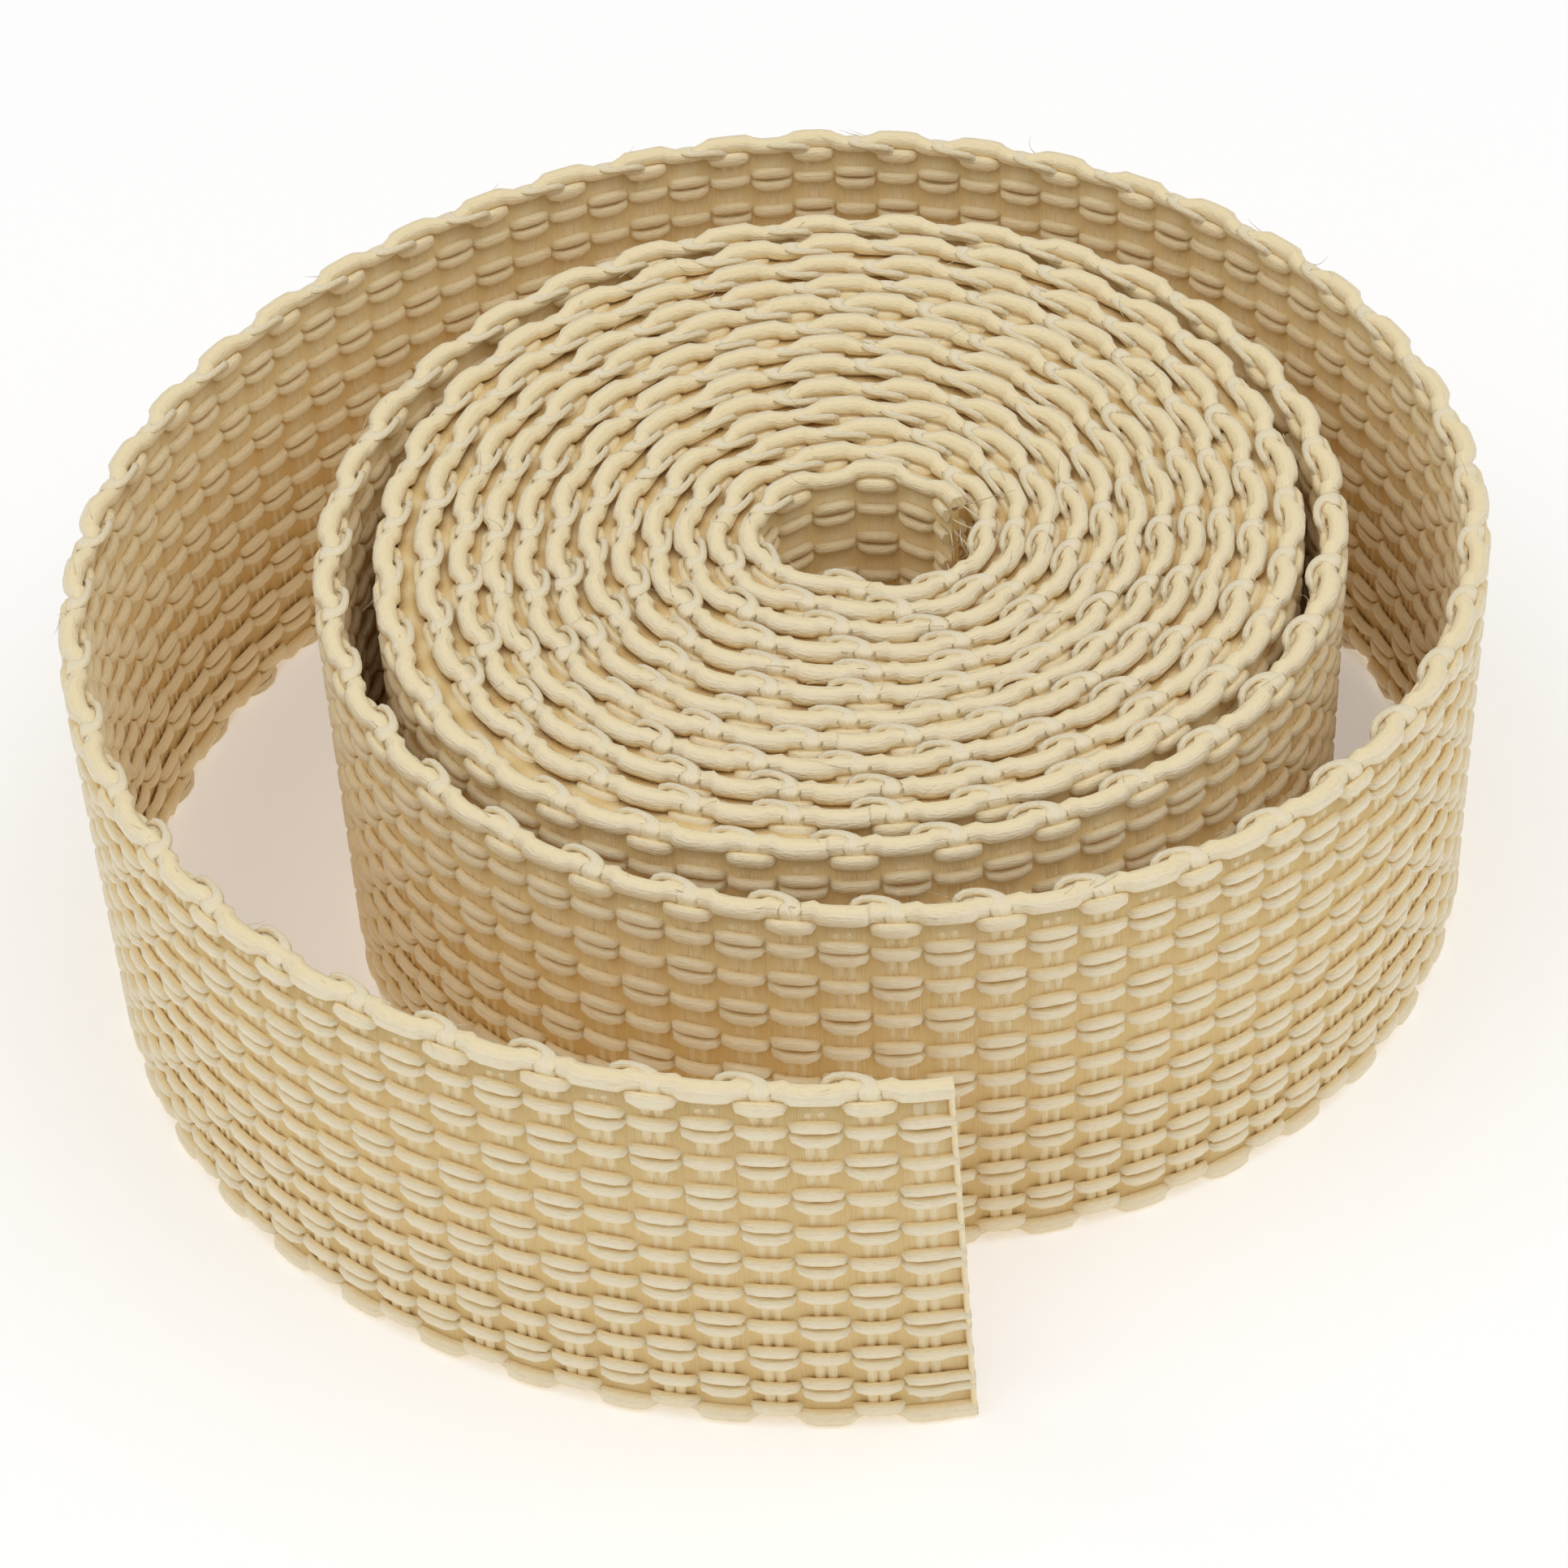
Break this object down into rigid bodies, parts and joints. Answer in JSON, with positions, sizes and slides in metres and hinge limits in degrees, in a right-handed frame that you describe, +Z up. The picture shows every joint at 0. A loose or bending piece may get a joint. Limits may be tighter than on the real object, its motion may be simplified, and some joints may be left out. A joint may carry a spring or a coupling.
{
  "type": "roll of polypropylene webbing",
  "caption": "Cream woven polypropylene webbing wound on edge around an open core, its last turn sprung into a wide loose loop with a free cut end.",
  "frame": {"origin": "middle of the roll's bounding box, on the surface that it stands on", "axes": "+Z up, along the webbing's width and the axis it is wound about; -Y towards the free end at the front; +X to its right"},
  "size_m": [0.0792, 0.0824, 0.025],
  "materials": {
    "webbing": "cream multifilament polypropylene, plain ribbed weave, soft satin sheen"
  },
  "bodies": {
    "root": {"webbing": "webbing"}
  },
  "joints": []
}
